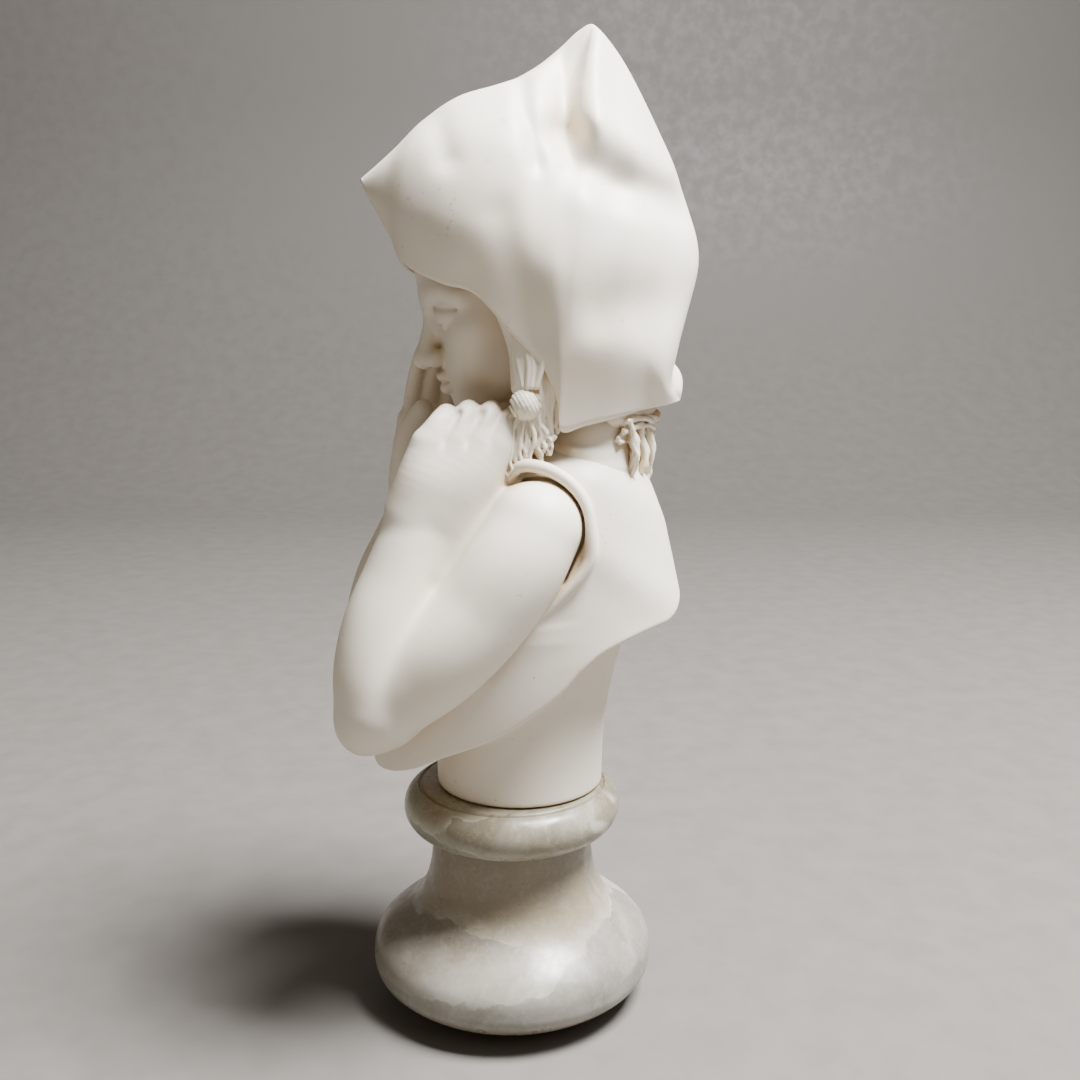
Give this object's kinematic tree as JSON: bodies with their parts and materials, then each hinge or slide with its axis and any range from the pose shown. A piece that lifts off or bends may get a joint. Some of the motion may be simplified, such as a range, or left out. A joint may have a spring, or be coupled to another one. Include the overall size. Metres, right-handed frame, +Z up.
{
  "type": "marble bust",
  "caption": "Marble bust of a hooded figure, hands raised to the cheeks, on a turned two-stone alabaster socle that it can be turned on.",
  "frame": {"origin": "middle of the felt's underside, on the axis of the turned socle", "axes": "+Z up along the socle's axis, the figure faces -Y, its left side is towards +X"},
  "size_m": [0.1542, 0.168, 0.4589],
  "materials": {
    "marble": "honed satin marble",
    "alabaster": "polished cloudy alabaster",
    "collar_alabaster": "polished pale alabaster",
    "felt": "pressed felt",
    "washer_fibre": "waxed leather",
    "grout": "set plaster grout",
    "steel": "zinc-plated steel"
  },
  "bodies": {
    "socle": {"base_felt": "felt", "socle_base": "alabaster", "socle_collar": "collar_alabaster", "seat_washer": "washer_fibre"},
    "bust": {"tie_rod": "steel", "rod_grout": "grout", "clamp_washer": "steel", "clamp_nut": "steel", "bust_foot": "marble", "draped_torso": "marble", "neckline_roll": "marble", "armhole_band_left": "marble", "armhole_band_right": "marble", "upper_arm_left": "marble", "upper_arm_right": "marble", "forearm_left": "marble", "forearm_right": "marble", "hand_left": "marble", "hand_right": "marble", "neck": "marble", "head": "marble", "side_hair_left": "marble", "side_hair_right": "marble", "nape_locks": "marble", "hood": "marble"}
  },
  "joints": [
    {"name": "bust_turn", "type": "hinge", "parent": "socle", "child": "bust", "pos_m": [0, 0, 0.11], "axis": [0, 0, 1], "continuous": true}
  ]
}
